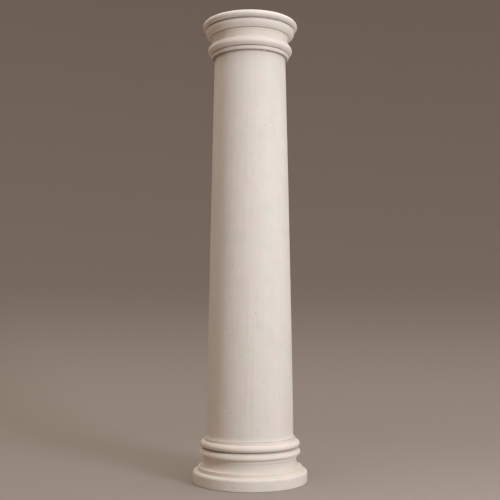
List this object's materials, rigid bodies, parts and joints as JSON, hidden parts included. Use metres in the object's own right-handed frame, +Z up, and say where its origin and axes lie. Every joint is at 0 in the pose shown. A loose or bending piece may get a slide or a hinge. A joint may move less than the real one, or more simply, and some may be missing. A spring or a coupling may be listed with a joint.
{
  "type": "doric column",
  "caption": "Free-standing round column of pale cast stone: moulded base on a round plinth, smooth tapering shaft, and capital with neck, cushion and round abacus.",
  "frame": {"origin": "centre of the plinth's underside, where the column stands on the ground", "axes": "+Z up along the column's axis; the column is round, so X and Y are interchangeable"},
  "size_m": [0.6, 0.6, 2.44],
  "materials": {
    "base_stone": "matt cast stone, pale cream with a little pink, fine grain and a few small pits",
    "shaft_stone": "matt cast stone, pale cream with a little pink, rubbed smooth, faint upright streaks",
    "capital_stone": "matt cast stone, pale cream with a little pink, fine grain, soft edges"
  },
  "bodies": {
    "root": {"base": "base_stone", "shaft": "shaft_stone", "capital": "capital_stone"}
  },
  "joints": []
}
